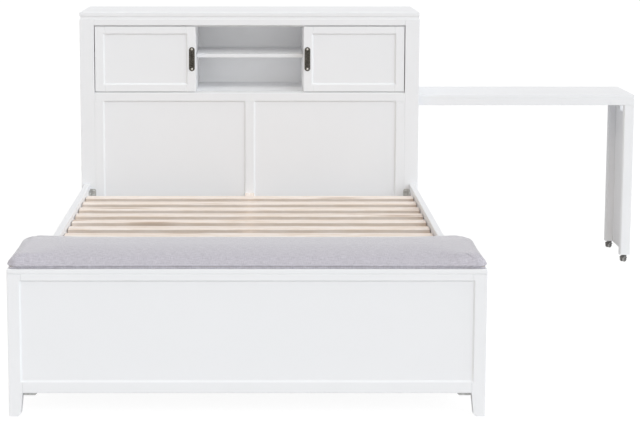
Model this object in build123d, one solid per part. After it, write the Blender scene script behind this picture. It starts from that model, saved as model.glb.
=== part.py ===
from build123d import *
import os
from math import radians, sin

# A full-size platform bed: a bookcase headboard with two sliding doors, a desk that
# rolls out of the headboard's right side, a slatted deck, and a footboard that is a
# bench box with a hinged, upholstered lid. Millimetres, +Z up, the bed's foot towards -Y.
# The plan is drawn from the bed's centre line and the headboard's front face.
# The finished parts are moved so that the origin is on the floor under the middle
# of the whole bed, with the desk rolled out.

# Overall sizes
bed_width = 1480
headboard_height = 1115
headboard_depth = 460
deck_length = 1930
bench_depth = 400
half_width = bed_width / 2

# Heights of the headboard's parts
top_board = 18
top_reveal = 11
reveal_depth = 3
post_top = headboard_height - top_board - top_reveal
door_opening_top = 1058
floor_top = 766
floor_board = 14
lower_frame_top = 763
lower_rail_height = 41
lower_frame_bottom = 60
lower_bottom_rail = 80

# Widths and thicknesses of the headboard's parts
post_width = 62
post_depth = 45
frame_thickness = 25
frame_stile = 43
centre_stile = 50
side_panel = 12
side_panel_inset = 8
bay_half_width = 235
partition = 16
partition_front = 28
back_panel = 6
back_panel_inset = 6
shelf_top = 929
shelf_thickness = 16
shelf_front = 60
pin_radius = 2.5
pin_length = 16
back_rail = 25
back_rail_height = 62

# Bevelled edge of the sunk panels
panel_bevel = 7
panel_recess = 7
panel_thickness = 6
panel_tongue = 8

# Sliding doors
door_bottom = 768
door_top = 1053
door_face = 4
door_thickness = 20
door_stile = 36
door_rail = 30
door_gap = 3
door_groove = 8
door_groove_depth = 12
track_width = 16
track_base = 2
track_rib = 2
track_rib_height = 4.5
slide_clearance = 0.3
pull_width = 25
pull_height = 105
pull_plate = 2.5
pull_cup_width = 15
pull_cup_height = 72
pull_cup_depth = 12
pull_wall = 1.5
pull_from_edge = 17

# Side rails, slats and centre beam
rail_outer = 727.5
rail_thickness = 25
rail_top = 360
rail_height = 150
slat_top = 338
slat_thickness = 18
slat_width = 70
slat_count = 12
slat_pitch = 143
first_slat = 222
slat_end_gap = 4
ledger_width = 30
ledger_height = 25
ledger_end = 90
beam_width = 40
beam_height = 50
beam_leg = 40
bracket_height = 36
bracket_leg = 26
bracket_flange = 75
bracket_steel = 3
bracket_hole = 3.5
bracket_edge = 9
bracket_corner = 5

# Bench box
bench_leg = 42
bench_leg_foot = 36
bench_leg_taper_top = 70
bench_leg_corner = 8
bench_top = 467
bench_cap = 16
bench_cap_width = 50
bench_top_rail = 24
bench_bottom_rail_bottom = 75
bench_bottom_rail = 39
bench_rail_thickness = 22
bench_bevel = 5
bench_recess = 6
bench_panel = 9
bench_back_thickness = 18
bench_floor_bottom = 80
bench_floor = 12
corner_plate_length = 43
corner_plate_height = 18
corner_plate_drop = 13
corner_plate_steel = 2.5
corner_plate_bevel = 6
corner_plate_hole = 1.8
corner_hole_rise = 8

# Bench lid and cushion
lid_base = 7
lid_inset = 8
cushion_overhang = 2
cushion_height = 39
cushion_shoulder = 11
cushion_belly = 8
cushion_tuck = 9
cushion_corner = 34
cushion_draw_in = 3
crest_half_width = 12
hinge_radius = 3.2
hinge_pin = 1.5
hinge_leaf = 1.5
hinge_leaf_width = 60
hinge_leaf_depth = 28
hinge_clearance = 0.05
hinge_spacing = 480
hinge_from_back = 4
hinge_height = 3.4

# Desk that rolls out of the headboard
desk_travel = 954
desk_length = 1430
desk_depth = 360
desk_front = 50
desk_top = 749
desk_board = 16
desk_apron = 30
desk_apron_thickness = 18
desk_leg_width = 45
desk_leg_depth = 34
desk_leg_bevel = 5
desk_panel = 13
desk_leg_bottom = 32
hand_slot_length = 130
hand_slot_height = 34
hand_slot_centre = 669
hand_slot_ease = 2
desk_end = half_width + desk_travel
runner_width = 30
runner_height = 26
runner_end = 692
glide_height = 4.7
glide_length = 40
catch_depth = 20
catch_drop = 24
stop_length = 40
stop_depth = 20

# Twin-wheel casters
wheel_radius = 11.5
wheel_width = 8.5
wheel_gap = 6.6
caster_spine = 6
caster_trail = 5
caster_heading = 35
caster_stem_radius = 5
caster_stem_length = 34
caster_collar_radius = 11
caster_collar = 7.8
caster_hood_radius = 14
caster_hood_wall = 1.6
axle_radius = 2.5
bearing_clearance = 0.05

# Edges of sawn boards are eased by this much
eased = 1.5

# Levels and faces that several parts share
bench_back = -deck_length
bench_front = bench_back - bench_depth
beam_top = slat_top - slat_thickness
bay_floor_bottom = floor_top - floor_board
opening_half = half_width - post_width
rail_inner = rail_outer - rail_thickness
desk_underside = desk_top - desk_board - desk_apron
desk_inner_end = desk_end - desk_length
desk_middle = desk_front + desk_depth / 2
cushion_bottom = bench_top + lid_base
cap_bottom = bench_top - bench_cap


def block(x, y, z):
    """A plain block between two limits along each axis."""
    size = (x[1] - x[0], y[1] - y[0], z[1] - z[0])
    middle = Pos((x[0] + x[1]) / 2, (y[0] + y[1]) / 2, (z[0] + z[1]) / 2)
    return middle * Box(*size)


def board(x, y, z, ease=eased):
    """A sawn board with all of its edges eased."""
    blank = block(x, y, z)
    return chamfer(blank.edges(), ease)


def mirrored(shape):
    """The same part on the other side of the bed."""
    return mirror(shape, about=Plane.YZ)


def sunk_opening(x, z, front, bevel, recess, depth):
    """The hole for a sunk panel, flared at the front so that its edges are bevelled."""
    width = x[1] - x[0]
    height = z[1] - z[0]
    centre = ((x[0] + x[1]) / 2, (z[0] + z[1]) / 2)
    mouth = Plane((centre[0], front, centre[1]), z_dir=(0, 1, 0), x_dir=(1, 0, 0))
    throat = mouth.offset(recess)
    flare = loft([
        mouth * Rectangle(width + 2 * bevel, height + 2 * bevel),
        throat * Rectangle(width, height),
    ])
    return flare + block(x, (front, front + depth), z)


def sunk_panel(x, z, front, thickness, tongue):
    """A flat panel that is held by its edges in grooves round the opening."""
    reach = (x[0] - tongue, x[1] + tongue)
    rise = (z[0] - tongue, z[1] + tongue)
    return block(reach, (front, front + thickness), rise)


def headboard_post(x, y):
    """A headboard post from the floor to the underside of the top."""
    return board(x, y, (0, post_top))


def headboard_top_board():
    """The top, rebated underneath so that a shadow line runs below its edge."""
    top = board(
        (-half_width, half_width),
        (0, headboard_depth),
        (headboard_height - top_board, headboard_height),
        2.5,
    )
    packing = block(
        (-half_width + reveal_depth, half_width - reveal_depth),
        (reveal_depth, headboard_depth - reveal_depth),
        (post_top, headboard_height - top_board),
    )
    return top + packing


def lower_openings():
    """Both sunk openings below the bookcase, left then right."""
    rise = (lower_frame_bottom + lower_bottom_rail, lower_frame_top - lower_rail_height)
    outer = opening_half - frame_stile
    inner = centre_stile / 2
    return [(-outer, -inner, rise), (inner, outer, rise)]


def lower_panels():
    """The two sunk panels below the bookcase."""
    face = panel_recess
    return [
        sunk_panel((left, right), rise, face, panel_thickness, panel_tongue)
        for left, right, rise in lower_openings()
    ]


def lower_frame():
    """Rails and stiles round the lower panels, their bevels meeting in mitres."""
    depth = (0, frame_thickness)
    rise = (lower_frame_bottom, lower_frame_top)
    between = (rise[0] + lower_bottom_rail, rise[1] - lower_rail_height)
    side = opening_half - frame_stile
    members = {
        "lower_top_rail": board((-opening_half, opening_half), depth, (between[1], rise[1])),
        "lower_bottom_rail": board((-opening_half, opening_half), depth, (rise[0], between[0])),
        "lower_side_stiles": Compound([
            board((-opening_half, -side), depth, between, 0.5),
            board((side, opening_half), depth, between, 0.5),
        ]),
        "lower_centre_stile": board((-centre_stile / 2, centre_stile / 2), depth, between, 0.5),
    }
    cutters = [
        sunk_opening((left, right), height, 0, panel_bevel, panel_recess, frame_thickness)
        for left, right, height in lower_openings()
    ]
    for name, member in members.items():
        for cutter in cutters + lower_panels():
            member = member - cutter
        members[name] = member
    return members


def bookcase_floor(posts):
    """The bookcase's floor, notched round the four posts."""
    deck = block(
        (-half_width + side_panel_inset + side_panel, half_width - side_panel_inset - side_panel),
        (frame_thickness, headboard_depth - back_panel_inset - back_panel),
        (bay_floor_bottom, floor_top),
    )
    for post in posts:
        deck = deck - post
    return deck


def side_panel_board(bottom):
    """A flat side panel set back between the front and the back post, on the left."""
    outside = -half_width + side_panel_inset
    return board(
        (outside, outside + side_panel),
        (post_depth, headboard_depth - post_depth),
        (bottom, post_top),
        0.5,
    )


def bookcase_partition(pins):
    """The left upright between a door's bay and the open bay, bored for the shelf pins."""
    upright = board(
        (-bay_half_width - partition, -bay_half_width),
        (partition_front, headboard_depth - back_panel_inset - back_panel),
        (floor_top, post_top),
        0.8,
    )
    for pin in pins:
        upright = upright - pin
    return upright


def shelf_pins():
    """Four steel pins that hold the shelf, half their length in the partitions."""
    height = shelf_top - shelf_thickness - pin_radius
    depths = (shelf_front + 40, headboard_depth - 60)
    left = [
        Pos(-bay_half_width, depth, height) * Rot(0, 90, 0) * Cylinder(pin_radius, pin_length)
        for depth in depths
    ]
    return left + [mirrored(pin) for pin in left]


def centre_shelf():
    """The loose shelf of the open bay."""
    return board(
        (-bay_half_width + 1, bay_half_width - 1),
        (shelf_front, headboard_depth - back_panel_inset - back_panel - 1),
        (shelf_top - shelf_thickness, shelf_top),
    )


def door_track(level, up):
    """A low track with one rib, fixed above or below the doors."""
    middle = door_face + door_thickness / 2
    base = (level, level + track_base) if up else (level - track_base, level)
    rib_end = base[1] + track_rib_height if up else base[0] - track_rib_height
    rib = (base[1], rib_end) if up else (rib_end, base[0])
    length = (-opening_half, opening_half)
    strip = block(length, (middle - track_width / 2, middle + track_width / 2), base)
    return strip + block(length, (middle - track_rib / 2, middle + track_rib / 2), rib)


def door_grooves(x):
    """The grooves in a door's bottom and top edges that take the tracks' ribs."""
    middle = door_face + door_thickness / 2
    width = (middle - door_groove / 2, middle + door_groove / 2)
    low = block(x, width, (door_bottom, door_bottom + door_groove_depth))
    high = block(x, width, (door_top - door_groove_depth, door_top))
    return low + high


def pull_place():
    """The middle of the left door's pull, on the door's face."""
    x = -bay_half_width - pull_from_edge
    return Pos(x, door_face, (door_bottom + door_top) / 2) * Rot(90, 0, 0)


def door_pull():
    """An obround flush pull: a thin plate with a finger cup behind it."""
    plate = extrude(SlotOverall(pull_height, pull_width, rotation=90), amount=pull_plate)
    plate = chamfer(plate.faces().sort_by(Axis.Z)[-1].edges(), 0.8)
    cup = extrude(SlotOverall(pull_cup_height, pull_cup_width, rotation=90), amount=-pull_cup_depth)
    inner = SlotOverall(pull_cup_height - 2 * pull_wall, pull_cup_width - 2 * pull_wall, rotation=90)
    hollow = extrude(inner, amount=pull_plate) + extrude(inner, amount=pull_wall - pull_cup_depth)
    return pull_place() * (plate + cup - hollow)


def pull_mortise():
    """The mortise in the door's stile that takes the pull's cup."""
    return pull_place() * extrude(
        SlotOverall(pull_cup_height, pull_cup_width, rotation=90), amount=-pull_cup_depth
    )


def door_width_limits():
    """The left and the right edge of the left door."""
    return (-opening_half + door_gap, -bay_half_width)


def door_opening():
    """The left door's sunk opening."""
    left, right = door_width_limits()
    width = (left + door_stile + panel_bevel, right - door_stile - panel_bevel)
    height = (door_bottom + door_rail + panel_bevel, door_top - door_rail - panel_bevel)
    return width, height


def door_panel():
    """The left door's sunk panel."""
    width, height = door_opening()
    return sunk_panel(width, height, door_face + panel_recess, panel_thickness, panel_tongue)


def door_frame():
    """The left door's two stiles and two rails, grooved and mortised."""
    left, right = door_width_limits()
    width, height = door_opening()
    depth = (door_face, door_face + door_thickness)
    full_height = (door_bottom, door_top)
    members = [
        board((left, width[0]), depth, full_height),
        board((width[1], right), depth, full_height),
        board(width, depth, (door_bottom, height[0])),
        board(width, depth, (height[1], door_top)),
    ]
    cutters = [
        sunk_opening(width, height, door_face, panel_bevel, panel_recess, door_thickness),
        door_panel(),
        door_grooves((left, right)),
        pull_mortise(),
    ]
    finished = []
    for member in members:
        for cutter in cutters:
            member = member - cutter
        finished.append(member)
    return Compound(finished)


def door_glides():
    """Two nylon shoes in the left door's bottom groove that straddle the track's rib."""
    left, right = door_width_limits()
    middle = door_face + door_thickness / 2
    bottom = lower_frame_top + track_base + slide_clearance
    shoes = []
    for x in (left + 50, right - 50):
        shoe = block(
            (x - 15, x + 15),
            (middle - door_groove / 2, middle + door_groove / 2),
            (bottom, door_bottom + door_groove_depth),
        )
        slot = block(
            (x - 15, x + 15),
            (middle - track_rib / 2 - slide_clearance, middle + track_rib / 2 + slide_clearance),
            (bottom, lower_frame_top + track_base + track_rib_height + slide_clearance),
        )
        shoes.append(shoe - slot)
    return Compound(shoes)


def desk_runners():
    """The two ledges inside the headboard on which the desk's inner end slides."""
    top = desk_underside - glide_height - slide_clearance
    reach = (-half_width + side_panel_inset + side_panel, runner_end)
    front = board(reach, (post_depth, post_depth + runner_width), (top - runner_height, top), 1)
    back_face = headboard_depth - post_depth
    back = board(reach, (back_face - runner_width, back_face), (top - runner_height, top), 1)
    return Compound([front, back])


def desk_stops():
    """Blocks on the runners that the desk's inner rail meets when the desk is fully out."""
    start = desk_inner_end + catch_depth + slide_clearance
    top = desk_underside - glide_height - slide_clearance
    rise = (top - runner_height, top)
    runner_face = post_depth + runner_width
    front = board((start, start + stop_length), (runner_face, runner_face + stop_depth), rise, 1)
    back_face = headboard_depth - runner_face
    back = board((start, start + stop_length), (back_face - stop_depth, back_face), rise, 1)
    return Compound([front, back])


def back_rails():
    """The stretchers between the back posts, under the bookcase and near the floor."""
    depth = (headboard_depth - back_panel_inset - back_rail, headboard_depth - back_panel_inset)
    length = (-opening_half, opening_half)
    upper = board(length, depth, (bay_floor_bottom - back_rail_height, bay_floor_bottom))
    lower = board(length, depth, (lower_frame_bottom, lower_frame_bottom + lower_bottom_rail))
    return Compound([upper, lower])


def side_rail():
    """The left side rail."""
    return board((-rail_outer, -rail_inner), (bench_back, 0), (rail_top - rail_height, rail_top), 2)


def slat_ledgers():
    """The ledges inside the side rails that carry the slats."""
    left = board(
        (-rail_inner, -rail_inner + ledger_width),
        (bench_back + ledger_end, -ledger_end),
        (beam_top - ledger_height, beam_top),
    )
    return Compound([left, mirrored(left)])


def slats():
    """Twelve flat pine slats at an even pitch."""
    half_length = rail_inner - slat_end_gap
    centres = [-first_slat - slat_pitch * place for place in range(slat_count)]
    return Compound([
        board(
            (-half_length, half_length),
            (centre - slat_width / 2, centre + slat_width / 2),
            (beam_top, slat_top),
        )
        for centre in centres
    ])


def centre_beam():
    """The beam under the middle of the slats, from the headboard to the bench."""
    return board((-beam_width / 2, beam_width / 2), (bench_back, 0), (beam_top - beam_height, beam_top))


def centre_legs():
    """Two legs under the centre beam."""
    top = beam_top - beam_height
    return Compound([
        board(
            (-beam_leg / 2, beam_leg / 2),
            (-deck_length * part - beam_leg / 2, -deck_length * part + beam_leg / 2),
            (0, top),
        )
        for part in (1 / 3, 2 / 3)
    ])


def rail_bracket():
    """A steel angle that hangs the left side rail on the headboard's post."""
    bottom = slat_top - bracket_height
    rise = (bottom, slat_top)
    inner_face = -rail_inner + bracket_steel
    plate = block((-rail_inner, -rail_inner + bracket_leg), (-bracket_steel, 0), rise)
    flange = block((-rail_inner, inner_face), (-bracket_flange, 0), rise)
    angle = plate + flange
    ends = angle.edges().filter_by(Axis.Y).group_by(Axis.X)[-1]
    tips = angle.edges().filter_by(Axis.X).group_by(Axis.Y)[0]
    angle = chamfer(ends + tips, bracket_corner)
    drill = Rot(90, 0, 0) * Cylinder(bracket_hole, 2 * bracket_leg)
    middle = (inner_face - rail_inner + bracket_leg) / 2
    for height in (bottom + bracket_edge, slat_top - bracket_edge):
        angle = angle - Pos(middle, 0, height) * drill
    for reach in (bracket_leg, bracket_flange - bracket_edge):
        side_drill = Rot(0, 90, 0) * Cylinder(bracket_hole, 2 * bracket_leg)
        angle = angle - Pos(-rail_inner, -reach, slat_top - bracket_height / 2) * side_drill
    return angle


def rail_brackets():
    """The same angle at both ends of both side rails."""
    head_left = rail_bracket()
    middle = Plane.XZ.offset(deck_length / 2)
    foot_left = mirror(head_left, about=middle)
    return Compound([head_left, mirrored(head_left), foot_left, mirrored(foot_left)])


def bench_leg_blank(front):
    """A bench leg on the left, tapered on its two inner sides, its inner foot corner cut."""
    outer = -half_width
    taper = [
        (0, 0),
        (bench_leg_foot - bench_leg_corner, 0),
        (bench_leg_foot, bench_leg_corner),
        (bench_leg, bench_leg_taper_top),
        (bench_leg, cap_bottom),
        (0, cap_bottom),
    ]
    across = extrude(Plane.XZ * make_face(Polyline(*taper, close=True)), amount=-bench_leg)
    along = extrude(Plane.YZ * make_face(Polyline(*taper, close=True)), amount=bench_leg)
    leg = across & along
    corner = leg.edges().filter_by(Axis.Z).sort_by(lambda edge: edge.center().X + edge.center().Y)[0]
    leg = chamfer(corner, eased)
    placed = Pos(outer, bench_front, 0) * leg
    if front:
        return placed
    return mirror(placed, about=Plane.XZ.offset(deck_length + bench_depth / 2))


def bench_front_opening():
    """The sunk opening in the bench's front."""
    half = half_width - bench_leg
    low = bench_bottom_rail_bottom + bench_bottom_rail
    high = cap_bottom - bench_top_rail
    return (-half, half), (low, high)


def bench_front_panel():
    """The long sunk panel of the bench's front."""
    width, height = bench_front_opening()
    return sunk_panel(width, height, bench_front + bench_recess, bench_panel, panel_tongue)


def bench_front_cutter():
    """The flared opening in the bench's front, with the panel's grooves."""
    width, height = bench_front_opening()
    opening = sunk_opening(width, height, bench_front, bench_bevel, bench_recess, bench_rail_thickness)
    return opening + bench_front_panel()


def bench_front_rails():
    """The rails above and below the bench's front panel."""
    width, height = bench_front_opening()
    depth = (bench_front, bench_front + bench_rail_thickness)
    cutter = bench_front_cutter()
    top = board(width, depth, (height[1], cap_bottom)) - cutter
    bottom = board(width, depth, (bench_bottom_rail_bottom, height[0])) - cutter
    return [top, bottom]


def bench_side_opening():
    """The limits of the sunk opening in the bench's sides."""
    along = (bench_front + bench_leg, bench_back - bench_leg)
    low = bench_bottom_rail_bottom + bench_bottom_rail
    high = cap_bottom - bench_top_rail
    return along, (low, high)


def bench_side_panel():
    """The left side's sunk panel."""
    along, height = bench_side_opening()
    outside = -half_width + bench_recess
    return block(
        (outside, outside + bench_panel),
        (along[0] - panel_tongue, along[1] + panel_tongue),
        (height[0] - panel_tongue, height[1] + panel_tongue),
    )


def bench_side_cutter():
    """The left side's flared opening, with the panel's grooves."""
    along, height = bench_side_opening()
    middle = ((along[0] + along[1]) / 2, (height[0] + height[1]) / 2)
    mouth = Plane((-half_width, middle[0], middle[1]), z_dir=(1, 0, 0), x_dir=(0, 1, 0))
    size = (along[1] - along[0], height[1] - height[0])
    flare = loft([
        mouth * Rectangle(size[0] + 2 * bench_bevel, size[1] + 2 * bench_bevel),
        mouth.offset(bench_recess) * Rectangle(*size),
    ])
    through = block((-half_width, -half_width + bench_rail_thickness), along, height)
    return flare + through + bench_side_panel()


def bench_side_rails():
    """The rails above and below both side panels."""
    along, height = bench_side_opening()
    depth = (-half_width, -half_width + bench_rail_thickness)
    cutter = bench_side_cutter()
    top = board(depth, along, (height[1], cap_bottom)) - cutter
    bottom = board(depth, along, (bench_bottom_rail_bottom, height[0])) - cutter
    return [top, bottom, mirrored(top), mirrored(bottom)]


def bench_legs(front):
    """The left and the right leg of the bench's front or back."""
    left = bench_leg_blank(front) - bench_side_cutter()
    if front:
        left = left - bench_front_cutter()
    return left, mirrored(left)


def bench_back_panel():
    """The board that closes the bench towards the mattress."""
    half = half_width - bench_leg
    face = bench_back - 4
    return board((-half, half), (face - bench_back_thickness, face), (bench_bottom_rail_bottom, cap_bottom))


def bench_floor_panel(legs):
    """The floor of the storage box, notched round the legs."""
    inside = half_width - bench_rail_thickness
    panel = block(
        (-inside, inside),
        (bench_front + bench_rail_thickness, bench_back - 4 - bench_back_thickness),
        (bench_floor_bottom, bench_floor_bottom + bench_floor),
    )
    for leg in legs:
        panel = panel - leg
    return panel


def bench_top_cap(leaves):
    """Four mitred boards round the mouth of the box, mortised for the hinges."""
    outer = block((-half_width, half_width), (bench_front, bench_back), (cap_bottom, bench_top))
    outer = chamfer(outer.edges(), 2)
    mouth = block(
        (-half_width + bench_cap_width, half_width - bench_cap_width),
        (bench_front + bench_cap_width, bench_back - bench_cap_width),
        (cap_bottom, bench_top),
    )
    ring = outer - mouth
    reach = bench_depth / 2
    low = cap_bottom - 1
    end_wedge = [
        (-half_width, bench_front),
        (-half_width + reach, bench_front + reach),
        (-half_width, bench_back),
    ]
    wedge = Pos(0, 0, low) * extrude(make_face(Polyline(*end_wedge, close=True)), amount=bench_cap + 2)
    left = ring & wedge
    right = mirrored(left)
    long_boards = ring - wedge - mirrored(wedge)
    for leaf in leaves:
        long_boards = long_boards - leaf
    return Compound([left, right] + list(long_boards.solids()))


def bench_corner_bracket():
    """A steel angle behind the bench's left front foot, its lower edge showing below the rail."""
    corner_x = -half_width + bench_leg
    corner_y = bench_front + bench_rail_thickness
    bottom = bench_bottom_rail_bottom - corner_plate_drop
    rise = (bottom, bottom + corner_plate_height)
    tip_x = corner_x + corner_plate_length
    plate = block((corner_x, tip_x), (corner_y, corner_y + corner_plate_steel), rise)
    low_tip = plate.edges().filter_by(Axis.Y).group_by(Axis.X)[-1].sort_by(Axis.Z)[0]
    plate = chamfer(low_tip, corner_plate_bevel)
    flange = block((corner_x, corner_x + corner_plate_steel), (corner_y, corner_y + bench_leg / 2), rise)
    drill = Rot(90, 0, 0) * Cylinder(corner_plate_hole, 2 * corner_plate_height)
    return plate + flange - Pos(tip_x - corner_plate_bevel, corner_y, bottom + corner_hole_rise) * drill


def bench_corner_brackets():
    """The angle at both front feet."""
    left = bench_corner_bracket()
    return Compound([left, mirrored(left)])


def hinge_axis():
    """Where the lid's hinge axis crosses the side view: along the bed and up."""
    return bench_back - hinge_from_back, bench_top + hinge_height


def hinge_places():
    """The middles of the three hinges across the lid."""
    return [-hinge_spacing, 0, hinge_spacing]


def hinge_barrel(x, length, radius):
    """A length of cylinder on the hinge axis."""
    depth, height = hinge_axis()
    return Pos(x, depth, height) * Rot(0, 90, 0) * Cylinder(radius, length)


def hinge_box_leaf(x):
    """The leaf let into the box, with the two outer knuckles and the pin."""
    depth, height = hinge_axis()
    third = hinge_leaf_width / 3
    leaf = block(
        (x - hinge_leaf_width / 2, x + hinge_leaf_width / 2),
        (depth - hinge_leaf_depth, depth - 2),
        (bench_top - hinge_leaf, bench_top),
    )
    for side in (-1, 1):
        middle = x + side * third
        neck = block(
            (middle - third / 2, middle + third / 2),
            (depth - hinge_radius, depth),
            (bench_top - hinge_leaf, height),
        )
        leaf = leaf + neck + hinge_barrel(middle, third, hinge_radius)
    return leaf + hinge_barrel(x, hinge_leaf_width, hinge_pin)


def hinge_lid_leaf(x):
    """The leaf let into the lid's base, with the middle knuckle."""
    depth, height = hinge_axis()
    knuckle = hinge_leaf_width / 3 - 2 * slide_clearance
    leaf = block(
        (x - hinge_leaf_width / 2, x + hinge_leaf_width / 2),
        (depth - hinge_leaf_depth, depth - hinge_radius - 1),
        (bench_top + slide_clearance, bench_top + slide_clearance + hinge_leaf),
    )
    tongue = block(
        (x - knuckle / 2, x + knuckle / 2),
        (depth - hinge_radius - 1, depth),
        (bench_top + slide_clearance, bench_top + slide_clearance + hinge_leaf),
    )
    bore = hinge_barrel(x, knuckle, hinge_pin + hinge_clearance)
    bored = hinge_barrel(x, knuckle, hinge_radius) - bore
    return leaf + (tongue - hinge_barrel(x, knuckle, hinge_radius)) + bored


def bench_lid_base(leaves):
    """The plywood base that carries the cushion, set in from the bench's edges."""
    depth, height = hinge_axis()
    base = board(
        (-half_width + lid_inset, half_width - lid_inset),
        (bench_front + lid_inset, depth - hinge_radius - 1.8),
        (bench_top + slide_clearance, cushion_bottom),
        1,
    )
    for leaf in leaves:
        base = base - leaf
    return base


def cushion_outline(inset, level):
    """One level of the cushion: rounded corners and long sides that draw in between them."""
    middle_y = (bench_front + bench_back) / 2
    x = half_width + cushion_overhang - inset
    y = bench_depth / 2 + cushion_overhang - inset
    pull = cushion_draw_in
    corner = min(cushion_corner, 0.7 * y)
    diagonal = corner * (1 - sin(radians(45)))
    sides = [
        ThreePointArc((-x + corner, -y), (0, -y + pull), (x - corner, -y)),
        ThreePointArc((x - corner, -y), (x - diagonal, -y + diagonal), (x, -y + corner)),
        ThreePointArc((x, -y + corner), (x - pull, 0), (x, y - corner)),
        ThreePointArc((x, y - corner), (x - diagonal, y - diagonal), (x - corner, y)),
        ThreePointArc((x - corner, y), (0, y - pull), (-x + corner, y)),
        ThreePointArc((-x + corner, y), (-x + diagonal, y - diagonal), (-x, y - corner)),
        ThreePointArc((-x, y - corner), (-x + pull, 0), (-x, -y + corner)),
        ThreePointArc((-x, -y + corner), (-x + diagonal, -y + diagonal), (-x + corner, -y)),
    ]
    return Pos(0, middle_y, cushion_bottom + level) * make_face(Curve() + sides)


def bench_cushion():
    """The cushion: its foot tucked under, its sides bellied, its top crowned to a long crest."""
    foot = [(cushion_tuck, 0), (cushion_tuck / 3, cushion_belly / 2), (0, cushion_belly)]
    reach = bench_depth / 2 + cushion_overhang - crest_half_width
    dome = cushion_height - cushion_shoulder
    shares = (0.02, 0.09, 0.22, 0.4, 0.6, 0.8, 1)
    crown = [(share * reach, cushion_shoulder + dome * sin(radians(90) * share)) for share in shares]
    return loft([cushion_outline(inset, level) for inset, level in foot + crown], ruled=True)


def desk_top_board():
    """The desk's top."""
    return board(
        (desk_inner_end, desk_end),
        (desk_front, desk_front + desk_depth),
        (desk_top - desk_board, desk_top),
    )


def desk_side_aprons():
    """The long boards under the desk's front and back edges."""
    rise = (desk_underside, desk_underside + desk_apron)
    front = board((desk_inner_end, desk_end), (desk_front, desk_front + desk_apron_thickness), rise)
    return Compound([front, mirror(front, about=Plane.XZ.offset(-desk_middle))])


def desk_end_rails():
    """The rails across the desk's two ends, and the catch board hung from the inner one."""
    inside = (desk_front + desk_apron_thickness, desk_front + desk_depth - desk_apron_thickness)
    between = (post_depth + runner_width + 2, headboard_depth - post_depth - runner_width - 2)
    rise = (desk_underside, desk_underside + desk_apron)
    outer = board((desk_end - desk_apron_thickness, desk_end), inside, rise, 1)
    across = (desk_inner_end, desk_inner_end + catch_depth)
    inner = board(across, inside, rise, 1)
    catch = board(across, between, (desk_underside - catch_drop, desk_underside), 1)
    return Compound([outer, inner, catch])


def desk_glides():
    """Nylon pads under the inner ends of the aprons, which slide on the runners."""
    across = (desk_inner_end, desk_inner_end + glide_length)
    rise = (desk_underside - glide_height, desk_underside)
    front = board(across, (desk_front + 2, desk_front + desk_apron_thickness - 2), rise, 0.8)
    return Compound([front, mirror(front, about=Plane.XZ.offset(-desk_middle))])


def desk_leg_post(depth, stem):
    """A post of the desk's leg, its two inner arrises bevelled, bored for the caster's stem."""
    post = block((desk_end - desk_leg_width, desk_end), depth, (desk_leg_bottom, desk_underside))
    arrises = post.edges().filter_by(Axis.Z).group_by(Axis.X)[0]
    post = chamfer(arrises, desk_leg_bevel)
    outer = post.edges().filter_by(Axis.Z).group_by(Axis.X)[-1]
    post = chamfer(outer, eased)
    return post - stem


def desk_leg_posts():
    """The front and the back post of the desk's leg."""
    front = (desk_front, desk_front + desk_leg_depth)
    back = (desk_front + desk_depth - desk_leg_depth, desk_front + desk_depth)
    socket = caster_stem_radius + bearing_clearance
    length = caster_stem_length + 1
    posts = []
    for depth in (front, back):
        axis = Pos(desk_end - desk_leg_width / 2, (depth[0] + depth[1]) / 2, desk_leg_bottom + length / 2)
        posts.append(desk_leg_post(depth, axis * Cylinder(socket, length)))
    return Compound(posts)


def desk_leg_panel():
    """The end board between the posts, with a hand slot for rolling the desk out."""
    between = (desk_front + desk_leg_depth, desk_front + desk_depth - desk_leg_depth)
    panel = board((desk_end - desk_panel, desk_end), between, (desk_leg_bottom, desk_underside), 1)
    outside = Plane((desk_end, desk_middle, hand_slot_centre), z_dir=(-1, 0, 0), x_dir=(0, 1, 0))
    slot = extrude(outside * SlotOverall(hand_slot_length, hand_slot_height), amount=desk_panel)
    for face, depth in ((outside, hand_slot_ease), (outside.offset(desk_panel), -hand_slot_ease)):
        rim = SlotOverall(hand_slot_length + 2 * hand_slot_ease, hand_slot_height + 2 * hand_slot_ease)
        throat = SlotOverall(hand_slot_length, hand_slot_height)
        slot = slot + loft([face * rim, face.offset(depth) * throat])
    return panel - slot


def caster_place(back):
    """The stem axis of a caster at floor level, turned to its heading."""
    y = desk_front + desk_leg_depth / 2
    if back:
        y = desk_front + desk_depth - desk_leg_depth / 2
    return Pos(desk_end - desk_leg_width / 2, y, 0) * Rot(0, 0, caster_heading)


def caster_fork(back):
    """The swivelling part: stem, collar, spine between the wheels and the hood over them."""
    stem_top = desk_leg_bottom + caster_stem_length
    collar_low = desk_leg_bottom - caster_collar
    axle = Pos(-caster_trail, 0, wheel_radius) * Rot(90, 0, 0)
    stem = Pos(0, 0, (collar_low + stem_top) / 2) * Cylinder(caster_stem_radius, stem_top - collar_low)
    collar = Pos(0, 0, collar_low + caster_collar / 2 - slide_clearance / 2)
    collar = collar * Cylinder(caster_collar_radius, caster_collar - slide_clearance)
    width = 2 * wheel_width + wheel_gap
    hollow = Cylinder(caster_hood_radius - caster_hood_wall, width)
    hood = axle * (Cylinder(caster_hood_radius, width) - hollow)
    keep = block((-caster_trail - 11, 20), (-width, width), (wheel_radius + 4, 40))
    spine = axle * Cylinder(caster_hood_radius - 0.5, caster_spine)
    spine = spine & block((-40, 40), (-20, 20), (wheel_radius - 5, 40))
    body = (hood & keep) + spine + collar + stem
    bore = axle * Cylinder(axle_radius + bearing_clearance, caster_spine + 2)
    return caster_place(back) * (body - bore)


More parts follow.
